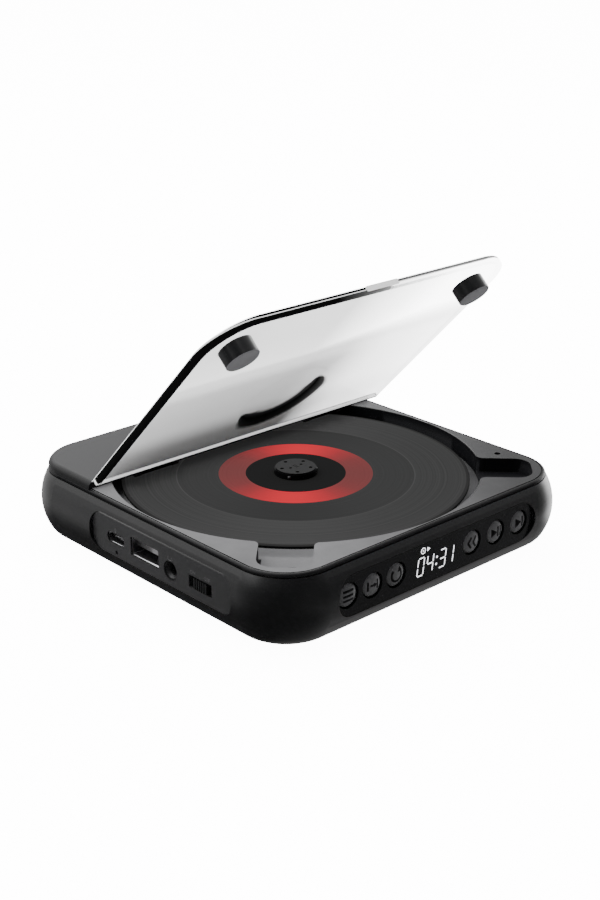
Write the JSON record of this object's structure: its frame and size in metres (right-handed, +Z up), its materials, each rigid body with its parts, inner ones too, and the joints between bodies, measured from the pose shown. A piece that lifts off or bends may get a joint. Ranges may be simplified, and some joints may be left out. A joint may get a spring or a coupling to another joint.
{
  "type": "portable disc player",
  "caption": "Square portable disc player with bulging rounded sides, a clear hinged lid over a round disc well, a front display window with round keys and ports on its left side.",
  "frame": {"origin": "centre of the case on the surface that its feet stand on", "axes": "+X to the right, +Y to the rear, +Z up; the display faces -Y and the ports face -X"},
  "size_m": [0.1376, 0.1376, 0.0997],
  "materials": {
    "case_plastic": "fine matte moulded plastic",
    "deck_plastic": "matte moulded plastic",
    "window_plastic": "dark tinted gloss plastic",
    "panel_plastic": "satin moulded plastic",
    "key_plastic": "satin moulded plastic",
    "clear_plastic": "clear polished plastic",
    "pad_plastic": "satin moulded plastic",
    "disc_plastic": "gloss disc with fine rings",
    "hub_plastic": "satin moulded plastic",
    "inner_plastic": "moulded plastic",
    "gear_plastic": "natural moulded plastic",
    "light_plastic": "light pipe",
    "board": "lacquered circuit board",
    "cell_foil": "foil pouch",
    "steel": "bright steel",
    "socket_steel": "drawn plated steel",
    "chassis_steel": "plated sheet steel",
    "motor_case": "turned motor case",
    "rubber": "soft rubber"
  },
  "bodies": {
    "case": {"lower_shell": "case_plastic", "deck": "deck_plastic", "rear_cover": "case_plastic", "hinge_pins": "steel", "striker_plates": "steel", "lid_sensor": "inner_plastic", "front_window": "window_plastic", "display_module": "inner_plastic", "key_board": "board", "port_panel": "panel_plastic", "usb_c_socket": "socket_steel", "usb_a_socket": "socket_steel", "headphone_jack": "inner_plastic", "switch_body": "inner_plastic", "charge_light": "light_plastic", "main_board": "board", "board_screws": "steel", "battery": "cell_foil", "chassis": "chassis_steel", "dampers": "rubber", "spindle_motor": "motor_case", "guide_rods": "steel", "feed_motor": "motor_case", "gear_post": "steel", "case_screws": "steel", "feet": "rubber"},
    "lid": {"lid": "clear_plastic", "lid_pads": "pad_plastic", "lid_magnets": "steel"},
    "turntable": {"spindle_shaft": "steel", "platter": "hub_plastic", "hub_cap": "hub_plastic", "chuck_balls": "steel", "disc": "disc_plastic"},
    "sled": {"sled": "inner_plastic", "rack": "gear_plastic"},
    "lens": {"lens_holder": "inner_plastic"},
    "feed_gear": {"feed_gear": "gear_plastic"},
    "feed_pinion": {"feed_pinion": "gear_plastic"},
    "menu_key": {"key_menu": "key_plastic"},
    "section_key": {"key_section": "key_plastic"},
    "repeat_key": {"key_repeat": "key_plastic"},
    "back_key": {"key_back": "key_plastic"},
    "play_key": {"key_play": "key_plastic"},
    "next_key": {"key_next": "key_plastic"},
    "power_switch": {"switch_knob": "key_plastic"}
  },
  "joints": [
    {"name": "lid_hinge", "type": "hinge", "parent": "case", "child": "lid", "pos_m": [0, 0.0284, 0.0283], "axis": [-1, 0, 0], "range_deg": [-46, 44]},
    {"name": "disc_spin", "type": "hinge", "parent": "case", "child": "turntable", "pos_m": [0, 0, 0.02], "axis": [0, 0, 1], "continuous": true},
    {"name": "pickup_slide", "type": "slide", "parent": "case", "child": "sled", "axis": [0.7071, 0.7071, 0], "range_m": [0, 0.032]},
    {"name": "focus", "type": "slide", "parent": "sled", "child": "lens", "axis": [0, 0, 1], "range_m": [-0.0004, 0.0004], "stiffness_N_per_m": 30},
    {"name": "feed_gear_spin", "type": "hinge", "parent": "case", "child": "feed_gear", "pos_m": [0.03995, 0.00247, 0.01], "axis": [0, 0, 1], "range_deg": [-459.5, 1]},
    {"name": "feed_pinion_spin", "type": "hinge", "parent": "case", "child": "feed_pinion", "pos_m": [0.04808, -0.00566, 0.006], "axis": [0, 0, 1], "range_deg": [-2, 1653]},
    {"name": "menu_press", "type": "slide", "parent": "case", "child": "menu_key", "axis": [0, 1, 0], "range_m": [0, 0.0006], "stiffness_N_per_m": 800},
    {"name": "section_press", "type": "slide", "parent": "case", "child": "section_key", "axis": [0, 1, 0], "range_m": [0, 0.0006], "stiffness_N_per_m": 800},
    {"name": "repeat_press", "type": "slide", "parent": "case", "child": "repeat_key", "axis": [0, 1, 0], "range_m": [0, 0.0006], "stiffness_N_per_m": 800},
    {"name": "back_press", "type": "slide", "parent": "case", "child": "back_key", "axis": [0, 1, 0], "range_m": [0, 0.0006], "stiffness_N_per_m": 800},
    {"name": "play_press", "type": "slide", "parent": "case", "child": "play_key", "axis": [0, 1, 0], "range_m": [0, 0.0006], "stiffness_N_per_m": 800},
    {"name": "next_press", "type": "slide", "parent": "case", "child": "next_key", "axis": [0, 1, 0], "range_m": [0, 0.0006], "stiffness_N_per_m": 800},
    {"name": "power_slide", "type": "slide", "parent": "case", "child": "power_switch", "axis": [0, 1, 0], "range_m": [-0.0018, 0.0018]}
  ],
  "couplings": [
    {"joint": "feed_gear_spin", "follows": "pickup_slide", "rad_per_m": -250},
    {"joint": "feed_pinion_spin", "follows": "pickup_slide", "rad_per_m": 900}
  ]
}
